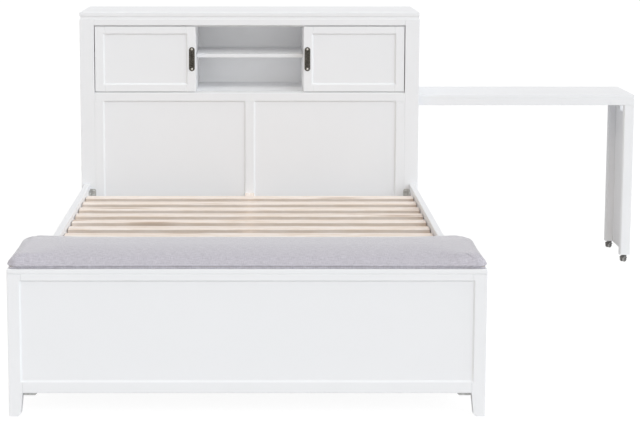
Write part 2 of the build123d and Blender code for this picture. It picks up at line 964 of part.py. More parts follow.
def caster_wheels(back):
    """Two wheels on one axle, each with a rounded tread and a dished hub."""
    half = wheel_gap / 2 + wheel_width
    tread = 2.2
    profile = make_face(Polyline(
        (0, wheel_gap / 2),
        (wheel_radius - 1, wheel_gap / 2),
        (wheel_radius, wheel_gap / 2 + 1),
        (wheel_radius, half - tread),
        (wheel_radius - tread, half),
        (6.5, half),
        (6, half - 1.5),
        (0, half - 1.5),
        close=True,
    ))
    wheel = revolve(Plane.XZ * profile, axis=Axis.Z)
    axle = Cylinder(axle_radius, wheel_gap)
    pair = wheel + mirror(wheel, about=Plane.XY) + axle
    return caster_place(back) * Pos(-caster_trail, 0, wheel_radius) * Rot(90, 0, 0) * pair


def all_parts():
    """Every part by name, in the plan's own place."""
    front_post = headboard_post((-half_width, -opening_half), (0, post_depth))
    back_depth = (headboard_depth - post_depth, headboard_depth)
    back_post = headboard_post((-half_width, -opening_half), back_depth)
    posts = [front_post, mirrored(front_post), back_post, mirrored(back_post)]
    pins = shelf_pins()
    partition_left = bookcase_partition(pins)
    upper_side = mirrored(side_panel_board(bay_floor_bottom))
    back_face = headboard_depth - back_panel_inset
    front_legs = bench_legs(True)
    back_legs = bench_legs(False)
    box_leaves = [hinge_box_leaf(x) for x in hinge_places()]
    lid_leaves = [hinge_lid_leaf(x) for x in hinge_places()]
    side_cutter_panel = bench_side_panel()
    parts = {
        "headboard_left_front_post": posts[0],
        "headboard_right_front_post": posts[1],
        "headboard_back_posts": Compound(posts[2:]),
        "headboard_top_board": headboard_top_board(),
        "headboard_left_side_panel": side_panel_board(lower_frame_bottom),
        "headboard_right_side_panel": upper_side,
        "headboard_back_rails": back_rails(),
        "bookcase_top_rail": board(
            (-opening_half, opening_half), (0, frame_thickness), (door_opening_top, post_top)
        ),
        "bookcase_floor": bookcase_floor(posts),
        "bookcase_back_panel": block(
            (-opening_half, opening_half), (back_face - back_panel, back_face), (bay_floor_bottom, post_top)
        ),
        "bookcase_partitions": Compound([partition_left, mirrored(partition_left)]),
        "centre_shelf": centre_shelf(),
        "shelf_pins": Compound(pins),
        "door_tracks": Compound([door_track(lower_frame_top, True), door_track(door_opening_top, False)]),
        "lower_panels": Compound(lower_panels()),
        "desk_runners": desk_runners(),
        "desk_stops": desk_stops(),
        "left_side_rail": side_rail(),
        "right_side_rail": mirrored(side_rail()),
        "slat_ledgers": slat_ledgers(),
        "slats": slats(),
        "centre_beam": centre_beam(),
        "centre_legs": centre_legs(),
        "rail_brackets": rail_brackets(),
        "bench_left_front_leg": front_legs[0],
        "bench_right_front_leg": front_legs[1],
        "bench_back_legs": Compound(list(back_legs)),
        "bench_rails": Compound(bench_front_rails() + bench_side_rails()),
        "bench_front_panel": bench_front_panel(),
        "bench_side_panels": Compound([side_cutter_panel, mirrored(side_cutter_panel)]),
        "bench_back_panel": bench_back_panel(),
        "bench_floor_panel": bench_floor_panel(front_legs + back_legs),
        "bench_top_cap": bench_top_cap(box_leaves),
        "bench_corner_brackets": bench_corner_brackets(),
        "bench_hinge_box_leaves": Compound(box_leaves),
        "bench_hinge_lid_leaves": Compound(lid_leaves),
        "bench_lid_base": bench_lid_base(lid_leaves),
        "bench_cushion": bench_cushion(),
        "desk_top_board": desk_top_board(),
        "desk_side_aprons": desk_side_aprons(),
        "desk_end_rails": desk_end_rails(),
        "desk_glides": desk_glides(),
        "desk_leg_posts": desk_leg_posts(),
        "desk_leg_panel": desk_leg_panel(),
        "front_caster_fork": caster_fork(False),
        "front_caster_wheels": caster_wheels(False),
        "back_caster_fork": caster_fork(True),
        "back_caster_wheels": caster_wheels(True),
    }
    parts.update(lower_frame())
    left_door = {
        "door_frame": door_frame(),
        "door_panel": door_panel(),
        "door_pull": door_pull(),
        "door_glides": door_glides(),
    }
    for name, shape in left_door.items():
        parts["left_" + name] = shape
        parts["right_" + name] = mirrored(shape)
    return parts


# The origin: on the floor, under the middle of the whole bed with the desk rolled out
origin_x = (desk_end - half_width - cushion_overhang) / 2
origin_y = (headboard_depth + bench_front - cushion_overhang) / 2

os.makedirs("parts", exist_ok=True)
for name, shape in all_parts().items():
    export_step(Pos(-origin_x, -origin_y, 0) * shape, f"parts/{name}.step")
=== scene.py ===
from math import pi, radians

import bmesh
import bpy
import numpy as np
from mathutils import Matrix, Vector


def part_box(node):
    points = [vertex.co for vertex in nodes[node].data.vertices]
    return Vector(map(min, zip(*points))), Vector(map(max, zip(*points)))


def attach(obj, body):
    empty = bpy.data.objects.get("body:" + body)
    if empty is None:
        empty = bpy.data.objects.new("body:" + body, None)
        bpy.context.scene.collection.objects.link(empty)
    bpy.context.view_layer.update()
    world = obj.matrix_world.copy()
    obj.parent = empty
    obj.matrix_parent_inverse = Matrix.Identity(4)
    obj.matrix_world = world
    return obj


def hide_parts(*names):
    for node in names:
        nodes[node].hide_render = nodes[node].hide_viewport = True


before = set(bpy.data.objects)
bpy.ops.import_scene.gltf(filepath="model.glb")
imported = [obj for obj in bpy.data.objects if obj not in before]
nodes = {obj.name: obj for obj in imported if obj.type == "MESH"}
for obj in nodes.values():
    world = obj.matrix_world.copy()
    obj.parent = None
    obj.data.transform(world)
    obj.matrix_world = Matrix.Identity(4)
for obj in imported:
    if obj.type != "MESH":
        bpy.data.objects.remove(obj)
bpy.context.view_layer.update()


# The photographer's camera stands a little above the headboard, some six and a half
# metres from the bed's middle, near the bed's centre line. It looks slightly down.
picture_width = 640
focal_length_in_pixels = 1747.8
sensor_width = 36
downward_tilt = radians(7.921)

camera_data = bpy.data.cameras.new("photo_camera")
camera_data.sensor_fit = "HORIZONTAL"
camera_data.sensor_width = sensor_width
camera_data.lens = focal_length_in_pixels / picture_width * sensor_width
camera_data.shift_x = 0.1002
camera_data.shift_y = -0.1
camera = bpy.data.objects.new("photo_camera", camera_data)
camera.location = (-0.4488, -6.6647, 1.5752)
camera.rotation_euler = (pi / 2 - downward_tilt, 0, 0)
bpy.context.scene.collection.objects.link(camera)
bpy.context.scene.camera = camera


# The studio is a white room with four broad soft lamps far off: two on the right, which
# make the right-hand faces the brighter ones, a warm one on the left and one overhead.
bpy.context.scene.view_settings.view_transform = "Standard"
world = bpy.data.worlds.new("studio")
bpy.context.scene.world = world
world.use_nodes = True
world.node_tree.nodes.clear()


def add_node(tree, kind, inputs=None, **settings):
    """Adds one shader node, with its settings and the values of its unlinked inputs."""
    made = tree.nodes.new(kind)
    for name, value in settings.items():
        setattr(made, name, value)
    for name, value in (inputs or {}).items():
        made.inputs[name].default_value = value
    return made


tree = world.node_tree
room = add_node(tree, "ShaderNodeBackground", {"Color": (0.99, 0.985, 0.99, 1), "Strength": 0.548})
white_view = add_node(tree, "ShaderNodeBackground", {"Color": (1, 1, 1, 1), "Strength": 1})
rays = add_node(tree, "ShaderNodeLightPath")
mirrored_ray = add_node(tree, "ShaderNodeMath", operation="MAXIMUM")
seen = add_node(tree, "ShaderNodeMath", operation="MAXIMUM")
pick = add_node(tree, "ShaderNodeMixShader")
out = add_node(tree, "ShaderNodeOutputWorld")
tree.links.new(rays.outputs["Is Glossy Ray"], mirrored_ray.inputs[0])
tree.links.new(rays.outputs["Is Transmission Ray"], mirrored_ray.inputs[1])
tree.links.new(rays.outputs["Is Camera Ray"], seen.inputs[0])
tree.links.new(mirrored_ray.outputs[0], seen.inputs[1])
tree.links.new(seen.outputs[0], pick.inputs["Fac"])
tree.links.new(room.outputs[0], pick.inputs[1])
tree.links.new(white_view.outputs[0], pick.inputs[2])
tree.links.new(pick.outputs[0], out.inputs["Surface"])


def far_lamp(name, height_angle, side_angle, softness, strength, colour):
    """A distant soft lamp, so far above the floor and so far round to the right, in degrees."""
    data = bpy.data.lights.new(name, "SUN")
    data.energy = strength
    data.angle = radians(softness)
    data.color = colour
    lamp = bpy.data.objects.new(name, data)
    bpy.context.scene.collection.objects.link(lamp)
    lamp.rotation_euler = (pi / 2 - radians(height_angle), 0, radians(side_angle))


far_lamp("key_lamp", 28, 38, 45, 0.99, (0.88, 0.95, 1))
far_lamp("side_lamp", 22, 78, 45, 0.5, (1, 1, 1))
far_lamp("left_lamp", 28, -38, 45, 0.28, (1, 0.82, 0.6))
far_lamp("high_lamp", 78, 20, 60, 0.42, (1, 1, 1))


# The floor is a pale sweep that runs out of sight. It looks white to the camera, with
# only a trace of the bed's shadow, and throws soft light back under the bed.
floor_reach = 30
floor_mesh = bpy.data.meshes.new("studio_floor")
floor_corners = [
    (-floor_reach, -floor_reach, 0),
    (floor_reach, -floor_reach, 0),
    (floor_reach, floor_reach, 0),
    (-floor_reach, floor_reach, 0),
]
floor_mesh.from_pydata(floor_corners, [], [(0, 1, 2, 3)])
floor = bpy.data.objects.new("studio_floor", floor_mesh)
bpy.context.scene.collection.objects.link(floor)

floor_material = bpy.data.materials.new("studio_floor")
floor_material.use_nodes = True
tree = floor_material.node_tree
tree.nodes.clear()
shaded = add_node(tree, "ShaderNodeBsdfDiffuse", {"Color": (0.8, 0.8, 0.8, 1)})
unlit = add_node(tree, "ShaderNodeEmission", {"Color": (0, 0, 0, 1), "Strength": 0})
faint = add_node(tree, "ShaderNodeMixShader", {"Fac": 0.8})
glow = add_node(tree, "ShaderNodeEmission", {"Color": (1, 1, 1, 1), "Strength": 0.92})
bright = add_node(tree, "ShaderNodeAddShader")
rays = add_node(tree, "ShaderNodeLightPath")
pick = add_node(tree, "ShaderNodeMixShader")
out = add_node(tree, "ShaderNodeOutputMaterial")
tree.links.new(shaded.outputs[0], faint.inputs[1])
tree.links.new(unlit.outputs[0], faint.inputs[2])
tree.links.new(faint.outputs[0], bright.inputs[0])
tree.links.new(glow.outputs[0], bright.inputs[1])
tree.links.new(rays.outputs["Is Camera Ray"], pick.inputs["Fac"])
tree.links.new(shaded.outputs[0], pick.inputs[1])
tree.links.new(bright.outputs[0], pick.inputs[2])
tree.links.new(pick.outputs[0], out.inputs["Surface"])
floor_mesh.materials.append(floor_material)


# The headboard's carcass: four posts from the floor to the top, a thick top board, a
# panel at each side and two stretchers behind. All is solid poplar and board, glued and
# dowelled, then sprayed with satin white lacquer through which the grain barely shows.
def new_group(name, inputs, outputs):
    """An empty node group with float inputs and float outputs, and its two end nodes."""
    group = bpy.data.node_groups.new(name, "ShaderNodeTree")
    for socket, value in inputs.items():
        made = group.interface.new_socket(socket, in_out="INPUT", socket_type="NodeSocketFloat")
        made.default_value = value
    for socket in outputs:
        group.interface.new_socket(socket, in_out="OUTPUT", socket_type="NodeSocketFloat")
    return group, group.nodes.new("NodeGroupInput"), group.nodes.new("NodeGroupOutput")


def calculate(tree, operation, *values):
    """One arithmetic node on two or three links or numbers. Gives back its output."""
    made = add_node(tree, "ShaderNodeMath", operation=operation)
    for slot, value in zip(made.inputs, values):
        if isinstance(value, (int, float)):
            slot.default_value = value
        else:
            tree.links.new(value, slot)
    return made.outputs[0]


def stretched_place(tree, scales):
    """The object's own coordinates, each axis multiplied by a number or a link."""
    place = add_node(tree, "ShaderNodeTexCoord")
    factors = add_node(tree, "ShaderNodeCombineXYZ")
    for socket, scale in zip(factors.inputs, scales):
        if isinstance(scale, (int, float)):
            socket.default_value = scale
        else:
            tree.links.new(scale, socket)
    product = add_node(tree, "ShaderNodeVectorMath", operation="MULTIPLY")
    tree.links.new(place.outputs["Object"], product.inputs[0])
    tree.links.new(factors.outputs[0], product.inputs[1])
    return product.outputs[0]


def noise(tree, vector, scale, detail, roughness=0.5):
    """A noise texture's value, from 0 to 1."""
    made = add_node(
        tree,
        "ShaderNodeTexNoise",
        {"Scale": scale, "Detail": detail, "Roughness": roughness},
    )
    tree.links.new(vector, made.inputs["Vector"])
    return made.outputs["Fac"]


def ramp(tree, factor, stops):
    """A colour ramp on factor, through stops of (position, grey level or colour)."""
    made = tree.nodes.new("ShaderNodeValToRGB")
    elements = made.color_ramp.elements
    while len(elements) < len(stops):
        elements.new(0.5)
    for element, (position, level) in zip(elements, stops):
        element.position = position
        colour = level if isinstance(level, tuple) else (level, level, level)
        element.color = (*colour, 1)
    tree.links.new(factor, made.inputs["Fac"])
    return made.outputs["Color"]


def new_material(name):
    """A material with its node tree and its Principled shader."""
    material = bpy.data.materials.new(name)
    material.use_nodes = True
    return material, material.node_tree, material.node_tree.nodes["Principled BSDF"]


def add_bump(tree, shader, height, strength, distance):
    """Feeds a height into the shader's normal."""
    bump = add_node(tree, "ShaderNodeBump", {"Strength": strength, "Distance": distance})
    tree.links.new(height, bump.inputs["Height"])
    tree.links.new(bump.outputs["Normal"], shader.inputs["Normal"])


def dress(material, *names):
    """Gives CAD nodes one finish."""
    for name in names:
        mesh = nodes[name].data
        mesh.materials.clear()
        mesh.materials.append(material)


lacquer, start, end = new_group(
    "sprayed_lacquer",
    {"Grain X": 1.0, "Grain Y": 1.0, "Grain Z": 1.0, "Grain Depth": 0.5},
    ("Tone", "Haze", "Height"),
)
along_grain = stretched_place(lacquer, [start.outputs[f"Grain {axis}"] for axis in "XYZ"])
anywhere = stretched_place(lacquer, (1, 1, 1))
pores = noise(lacquer, along_grain, 260, 5, 0.6)
figure = noise(lacquer, along_grain, 38, 4, 0.55)
orange_peel = noise(lacquer, anywhere, 420, 2)
dust = noise(lacquer, anywhere, 1900, 1)
cloud = noise(lacquer, anywhere, 3.4, 3)
pores_shown = calculate(lacquer, "MULTIPLY", pores, start.outputs["Grain Depth"])
figure_shown = calculate(lacquer, "MULTIPLY", figure, start.outputs["Grain Depth"])
pore_tone = calculate(lacquer, "MULTIPLY", pores_shown, 0.25)
grain_tone = calculate(lacquer, "MULTIPLY_ADD", figure_shown, 0.5, pore_tone)
tone = calculate(lacquer, "ADD", grain_tone, calculate(lacquer, "MULTIPLY", cloud, 0.6))
lacquer.links.new(tone, end.inputs["Tone"])
lacquer.links.new(calculate(lacquer, "MULTIPLY_ADD", dust, 0.4, cloud), end.inputs["Haze"])
dust_relief = calculate(lacquer, "MULTIPLY", dust, 0.08)
film = calculate(lacquer, "MULTIPLY_ADD", orange_peel, 0.5, dust_relief)
lacquer.links.new(calculate(lacquer, "ADD", film, pores_shown), end.inputs["Height"])


def white_lacquer(name, grain_axes, grain_depth):
    """Satin white lacquer. The grain runs along the axis with the small number."""
    material, tree, shader = new_material(name)
    shader.inputs["IOR"].default_value = 1.45
    shader.inputs["Specular IOR Level"].default_value = 0.35
    effect = add_node(tree, "ShaderNodeGroup", node_tree=lacquer)
    for axis, value in zip("XYZ", grain_axes):
        effect.inputs[f"Grain {axis}"].default_value = value
    effect.inputs["Grain Depth"].default_value = grain_depth
    whites = [(0.3, (0.868, 0.874, 0.891)), (0.75, (0.889, 0.894, 0.909))]
    tree.links.new(ramp(tree, effect.outputs["Tone"], whites), shader.inputs["Base Color"])
    gloss = ramp(tree, effect.outputs["Haze"], [(0.45, 0.47), (0.95, 0.36)])
    tree.links.new(gloss, shader.inputs["Roughness"])
    add_bump(tree, shader, effect.outputs["Height"], 0.14, 0.0004)
    return material


lacquer_upright = white_lacquer("lacquer_on_upright_grain", (1, 1, 0.05), 0.5)
lacquer_across = white_lacquer("lacquer_on_grain_across", (0.05, 1, 1), 0.5)
lacquer_lengthwise = white_lacquer("lacquer_on_lengthwise_grain", (1, 0.05, 1), 0.5)
lacquer_on_board = white_lacquer("lacquer_on_board", (1, 1, 1), 0.1)

dress(
    lacquer_upright,
    "headboard_left_front_post",
    "headboard_right_front_post",
    "headboard_back_posts",
)
dress(lacquer_across, "headboard_top_board", "headboard_back_rails", "bookcase_top_rail")
dress(lacquer_on_board, "headboard_left_side_panel", "headboard_right_side_panel")


# The bookcase: a floor, two partitions, a thin back and one loose shelf, all lacquered
# board. The open bay stands between the two sliding doors.
dress(lacquer_across, "bookcase_floor", "centre_shelf")
dress(lacquer_upright, "bookcase_partitions")
dress(lacquer_on_board, "bookcase_back_panel")


# Two strip lamps stand in the open bay's mouth, above and below the shelf. They light
# its inside as evenly as the photograph does, and the camera doesn't see them.
shelf_low, shelf_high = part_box("centre_shelf")
bay_floor_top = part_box("bookcase_floor")[1].z
bay_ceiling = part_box("bookcase_top_rail")[0].z


def bay_lamp(name, low_z, high_z, watts):
    """A strip lamp that fills the bay's mouth between two levels and shines inwards."""
    margin = 0.007
    data = bpy.data.lights.new(name, "AREA")
    data.shape = "RECTANGLE"
    data.size = shelf_high.x - shelf_low.x - 2 * margin
    data.size_y = high_z - low_z - 2 * margin
    data.energy = watts
    data.spread = radians(125)
    data.color = (1, 0.99, 0.96)
    lamp = bpy.data.objects.new(name, data)
    bpy.context.scene.collection.objects.link(lamp)
    middle_x = (shelf_low.x + shelf_high.x) / 2
    lamp.location = (middle_x, shelf_low.y + 0.004, (low_z + high_z) / 2)
    lamp.rotation_euler = (pi / 2, 0, 0)
    lamp.visible_camera = False
    lamp.visible_glossy = False


bay_lamp("upper_bay_lamp", shelf_high.z, bay_ceiling, 0.135)
bay_lamp("lower_bay_lamp", bay_floor_top, shelf_low.z, 0.17)


# The doors run in white plastic tracks screwed above and below them. The tracks are
# extruded, so fine lines run along them, and the doors' glides are moulded of nylon.
extrusion, tree, shader = new_material("extruded_plastic")
draw_lines = noise(tree, stretched_place(tree, (0.02, 1, 1)), 900, 3)
shades = [(0.35, (0.74, 0.745, 0.755)), (0.65, (0.8, 0.805, 0.81))]
tree.links.new(ramp(tree, draw_lines, shades), shader.inputs["Base Color"])
tree.links.new(ramp(tree, draw_lines, [(0.3, 0.34), (0.7, 0.48)]), shader.inputs["Roughness"])
add_bump(tree, shader, draw_lines, 0.2, 0.0002)
dress(extrusion, "door_tracks")

moulding, start, end = new_group("moulded_grain", {"Fineness": 1.0}, ("Grain", "Flow"))
grit_scale = calculate(moulding, "MULTIPLY", start.outputs["Fineness"], 1500)
grit = add_node(moulding, "ShaderNodeTexNoise", {"Detail": 2})
moulding.links.new(stretched_place(moulding, (1, 1, 1)), grit.inputs["Vector"])
moulding.links.new(grit_scale, grit.inputs["Scale"])
moulding.links.new(grit.outputs["Fac"], end.inputs["Grain"])
flow = noise(moulding, stretched_place(moulding, (1, 1, 0.4)), 70, 3)
moulding.links.new(flow, end.inputs["Flow"])


def moulded(name, dark, light, roughness, fineness=1.0):
    """Moulded plastic: two close tones that follow its flow, and a fine grain of its mould."""
    material, tree, shader = new_material(name)
    effect = add_node(tree, "ShaderNodeGroup", node_tree=moulding)
    effect.inputs["Fineness"].default_value = fineness
    colour = ramp(tree, effect.outputs["Flow"], [(0.35, dark), (0.65, light)])
    tree.links.new(colour, shader.inputs["Base Color"])
    gloss = ramp(tree, effect.outputs["Grain"], [(0.35, roughness), (0.65, roughness - 0.1)])
    tree.links.new(gloss, shader.inputs["Roughness"])
    add_bump(tree, shader, effect.outputs["Grain"], 0.25, 0.00012)
    return material


white_nylon = moulded("white_nylon", (0.72, 0.72, 0.7), (0.79, 0.79, 0.77), 0.45)
dress(white_nylon, "left_door_glides", "right_door_glides", "desk_glides")


# Each sliding door is a lacquered frame round a sunk panel.
dress(lacquer_across, "left_door_frame", "right_door_frame")
dress(lacquer_on_board, "left_door_panel", "right_door_panel")


# The pulls are cast zinc, let into the doors and held by two screws. Their dark bronze
# finish is cloudy all over.
metal_skin, start, end = new_group(
    "metal_skin",
    {"Cloudiness": 60.0, "Drag": 1.0},
    ("Cloud", "Scratch"),
)
cloud_texture = add_node(metal_skin, "ShaderNodeTexNoise", {"Detail": 5, "Roughness": 0.6})
metal_skin.links.new(stretched_place(metal_skin, (1, 1, 1)), cloud_texture.inputs["Vector"])
metal_skin.links.new(start.outputs["Cloudiness"], cloud_texture.inputs["Scale"])
metal_skin.links.new(cloud_texture.outputs["Fac"], end.inputs["Cloud"])
scratch = noise(metal_skin, stretched_place(metal_skin, (1, 1, start.outputs["Drag"])), 1100, 3)
metal_skin.links.new(scratch, end.inputs["Scratch"])


def metal(name, dark, light, rough, smooth, cloudiness, drag):
    """Metal in two tones that follow its cloudy skin, with fine rub marks along one axis."""
    material, tree, shader = new_material(name)
    shader.inputs["Metallic"].default_value = 1
    effect = add_node(tree, "ShaderNodeGroup", node_tree=metal_skin)
    effect.inputs["Cloudiness"].default_value = cloudiness
    effect.inputs["Drag"].default_value = drag
    colour = ramp(tree, effect.outputs["Cloud"], [(0.32, dark), (0.68, light)])
    tree.links.new(colour, shader.inputs["Base Color"])
    rubbed = calculate(tree, "MULTIPLY", effect.outputs["Scratch"], 0.5)
    worn = calculate(tree, "ADD", effect.outputs["Cloud"], rubbed)
    tree.links.new(ramp(tree, worn, [(0.5, rough), (1, smooth)]), shader.inputs["Roughness"])
    add_bump(tree, shader, effect.outputs["Scratch"], 0.15, 0.00008)
    return material


bronze = metal("dark_bronze", (0.055, 0.05, 0.043), (0.16, 0.15, 0.13), 0.5, 0.3, 150, 1)
dress(bronze, "left_door_pull", "right_door_pull")


# The frame below the bookcase is flat boards round two sunk panels.
dress(lacquer_upright, "lower_side_stiles", "lower_centre_stile")
dress(lacquer_across, "lower_top_rail", "lower_bottom_rail")
dress(lacquer_on_board, "lower_panels")


# The side rails run from the headboard to the bench, lacquered like them.
dress(lacquer_lengthwise, "left_side_rail", "right_side_rail")


# Slats, ledgers, centre beam and its legs are planed pine, left pale under a matt
# sealer. Late wood draws brown streaks along each board, and a few have small knots.
pine_figure, start, end = new_group(
    "planed_pine",
    {"Along X": 1.0, "Along Y": 1.0, "Along Z": 1.0, "Board": 0.0},
    ("Growth", "Streak", "Knot", "Fibre"),
)
lengths = [start.outputs[f"Along {axis}"] for axis in "XYZ"]
own_place = stretched_place(pine_figure, lengths)
board_shift = add_node(pine_figure, "ShaderNodeCombineXYZ")
for axis, jump in (("X", 3.71), ("Z", 5.33)):
    shift = calculate(pine_figure, "MULTIPLY", start.outputs["Board"], jump)
    pine_figure.links.new(shift, board_shift.inputs[axis])
shifted = add_node(pine_figure, "ShaderNodeVectorMath", operation="ADD")
pine_figure.links.new(own_place, shifted.inputs[0])
pine_figure.links.new(board_shift.outputs[0], shifted.inputs[1])
wander = add_node(pine_figure, "ShaderNodeTexNoise", {"Scale": 5, "Detail": 2})
pine_figure.links.new(shifted.outputs[0], wander.inputs["Vector"])
sway = add_node(pine_figure, "ShaderNodeVectorMath", {"Scale": 0.03}, operation="SCALE")
pine_figure.links.new(wander.outputs["Color"], sway.inputs[0])
swayed = add_node(pine_figure, "ShaderNodeVectorMath", operation="ADD")
pine_figure.links.new(shifted.outputs[0], swayed.inputs[0])
pine_figure.links.new(sway.outputs[0], swayed.inputs[1])
knots = add_node(pine_figure, "ShaderNodeTexVoronoi", {"Scale": 13, "Randomness": 1})
pine_figure.links.new(swayed.outputs[0], knots.inputs["Vector"])
pine_figure.links.new(noise(pine_figure, swayed.outputs[0], 30, 3), end.inputs["Growth"])
pine_figure.links.new(noise(pine_figure, swayed.outputs[0], 110, 4, 0.6), end.inputs["Streak"])
pine_figure.links.new(knots.outputs["Distance"], end.inputs["Knot"])
pine_figure.links.new(noise(pine_figure, shifted.outputs[0], 900, 2), end.inputs["Fibre"])


def pine(
    name,
    grain_axes,
    first_y=0.0,
    pitch=100.0,
    upright_painted_shade=0.0,
    sap=(0.965, 0.88, 0.82),
    heart=(0.84, 0.71, 0.6),
):
    """Pine, its grain along the axis with the small number. Boards at a pitch in Y differ.

    Where a face stands upright it is painted browner and darker, to the strength given:
    a painted shade for the shade that falls between the boards.
    """
    material, tree, shader = new_material(name)
    shader.inputs["Specular IOR Level"].default_value = 0.3
    effect = add_node(tree, "ShaderNodeGroup", node_tree=pine_figure)
    for axis, value in zip("XYZ", grain_axes):
        effect.inputs[f"Along {axis}"].default_value = value
    place = add_node(tree, "ShaderNodeTexCoord")
    split = add_node(tree, "ShaderNodeSeparateXYZ")
    tree.links.new(place.outputs["Object"], split.inputs[0])
    from_first = calculate(tree, "SUBTRACT", split.outputs["Y"], first_y)
    number = calculate(tree, "ROUND", calculate(tree, "DIVIDE", from_first, pitch))
    tree.links.new(number, effect.inputs["Board"])
    growth = calculate(tree, "MULTIPLY", effect.outputs["Growth"], 0.45)
    late_wood = calculate(tree, "MULTIPLY_ADD", effect.outputs["Streak"], 0.65, growth)
    halfway = tuple((pale + dark) / 2 for pale, dark in zip(sap, heart))
    wood = ramp(tree, late_wood, [(0.46, sap), (0.56, halfway), (0.68, heart)])
    halo = ramp(tree, effect.outputs["Knot"], [(0.05, 1.0), (0.2, 0.0)])
    knotted = add_node(tree, "ShaderNodeMix", data_type="RGBA")
    knotted.inputs["B"].default_value = (0.42, 0.27, 0.17, 1)
    tree.links.new(halo, knotted.inputs["Factor"])
    tree.links.new(wood, knotted.inputs["A"])
    facing = add_node(tree, "ShaderNodeNewGeometry")
    normal_parts = add_node(tree, "ShaderNodeSeparateXYZ")
    tree.links.new(facing.outputs["True Normal"], normal_parts.inputs[0])
    # Painted shade: faces that stand upright are mixed towards a dark brown, for the shade between
    # neighbouring slats.
    level = calculate(tree, "ABSOLUTE", normal_parts.outputs["Z"])
    upright_shade_mask = ramp(tree, level, [(0.3, upright_painted_shade), (0.7, 0.0)])
    upright_shaded = add_node(tree, "ShaderNodeMix", data_type="RGBA")
    upright_shaded.inputs["B"].default_value = (0.42, 0.35, 0.29, 1)
    tree.links.new(upright_shade_mask, upright_shaded.inputs["Factor"])
    tree.links.new(knotted.outputs["Result"], upright_shaded.inputs["A"])
    tree.links.new(upright_shaded.outputs["Result"], shader.inputs["Base Color"])
    gloss = ramp(tree, effect.outputs["Fibre"], [(0.3, 0.66), (0.7, 0.5)])
    tree.links.new(gloss, shader.inputs["Roughness"])
    relief = calculate(tree, "MULTIPLY_ADD", effect.outputs["Streak"], 0.6, effect.outputs["Fibre"])
    add_bump(tree, shader, relief, 0.3, 0.0004)
    return material


slats_low, slats_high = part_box("slats")
slat_width = 0.07
slat_count = 12
slat_pitch = (slats_high.y - slats_low.y - slat_width) / (slat_count - 1)
first_slat = slats_high.y - slat_width / 2
# The slats' upright faces get the painted shade at half strength.
dress(pine("slat_pine", (0.11, 1, 1), first_slat, slat_pitch, 0.5), "slats")
dress(pine("ledger_pine", (1, 0.11, 1)), "slat_ledgers", "centre_beam")
dress(pine("leg_pine", (1, 1, 0.11)), "centre_legs")


# Two runners under the bookcase and two stop blocks guide the desk. They are hard
# maple, waxed so that the desk's glides run on them.
maple = pine("waxed_maple", (0.11, 1, 1), sap=(0.72, 0.56, 0.4), heart=(0.62, 0.45, 0.3))
dress(maple, "desk_runners", "desk_stops")


# Four steel angles hang the side rails on the headboard and the bench. They are pressed
# from sheet and zinc plated, and button-head screws with a hex socket hold them.
zinc = metal("zinc_plate", (0.46, 0.465, 0.455), (0.66, 0.66, 0.645), 0.55, 0.36, 70, 1)
dress(zinc, "rail_brackets")

millimetre = 0.001
rail_brackets_low, rail_brackets_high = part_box("rail_brackets")
bed_middle_x = (rail_brackets_low.x + rail_brackets_high.x) / 2


def hex_socket(angle):
    """A hexagon's edge around its middle: the apothem over the cosine of the angle to it."""
    from_flat = np.mod(angle, pi / 3) - pi / 6
    return 1 / np.cos(from_flat)


def cross_socket(angle):
    """A plus sign's edge: the farther of the two bars' edges along each angle."""
    bar = 0.28
    across = np.abs(np.cos(angle)) + 1e-9
    up = np.abs(np.sin(angle)) + 1e-9
    lying = np.minimum(1 / across, bar / up)
    standing = np.minimum(1 / up, bar / across)
    return np.maximum(lying, standing)


def surface_mesh(name, sheets):
    """One mesh from grids of points, each closed across its last axis, with its poles merged."""
    corners, faces, first = [], [], 0
    for sheet in sheets:
        rows, columns = sheet.shape[:2]
        number = first + np.arange(rows * columns).reshape(rows, columns)
        beside = np.roll(number, -1, axis=1)
        quads = np.stack([number[:-1], beside[:-1], beside[1:], number[1:]], axis=-1)
        corners.append(sheet.reshape(-1, 3))
        faces.append(quads.reshape(-1, 4))
        first += rows * columns
    mesh = bpy.data.meshes.new(name)
    mesh.from_pydata(np.concatenate(corners).tolist(), [], np.concatenate(faces).tolist())
    built = bmesh.new()
    built.from_mesh(mesh)
    bmesh.ops.remove_doubles(built, verts=built.verts, dist=1e-6)
    bmesh.ops.dissolve_degenerate(built, edges=built.edges, dist=1e-7)
    bmesh.ops.recalc_face_normals(built, faces=built.faces)
    built.to_mesh(mesh)
    built.free()
    piece = bpy.data.objects.new(name, mesh)
    bpy.context.scene.collection.objects.link(piece)
    return piece


def screw_head(spot, outwards, radius, rise, socket, socket_size, socket_depth):
    """A turned head: its height falls with the square of the radius, round a sunk socket."""
    columns = 48
    angle = np.linspace(0, 2 * pi, columns, endpoint=False)
    edge = socket(angle) * socket_size
    share = np.linspace(0, 1, 6)[:, None]
    crown_radius = edge + (radius - edge) * share
    crown_height = rise * (1 - 0.6 * (crown_radius / radius) ** 2)
    floor_height = crown_height[0] - socket_depth
    inner_radius = np.stack([0 * edge, 0.6 * edge, edge])
    inner_height = np.stack([floor_height, floor_height, floor_height])
    skirt_radius = np.full((2, columns), radius)
    skirt_height = np.array([[0.1 * rise], [-0.4 * rise]]) + 0 * skirt_radius
    closing_height = np.full((1, columns), -0.4 * rise)
    reach = np.concatenate([inner_radius, crown_radius, skirt_radius, 0 * closing_height])
    height = np.concatenate([inner_height, crown_height, skirt_height, closing_height])
    outwards = np.asarray(outwards, float)
    helper = np.array([0.0, 0.0, 1.0]) if abs(outwards[2]) < 0.5 else np.array([0.0, 1.0, 0.0])
    side = np.cross(helper, outwards)
    ring = np.cos(angle)[:, None] * side + np.sin(angle)[:, None] * np.cross(outwards, side)
    return np.asarray(spot, float) + reach[..., None] * ring + height[..., None] * outwards


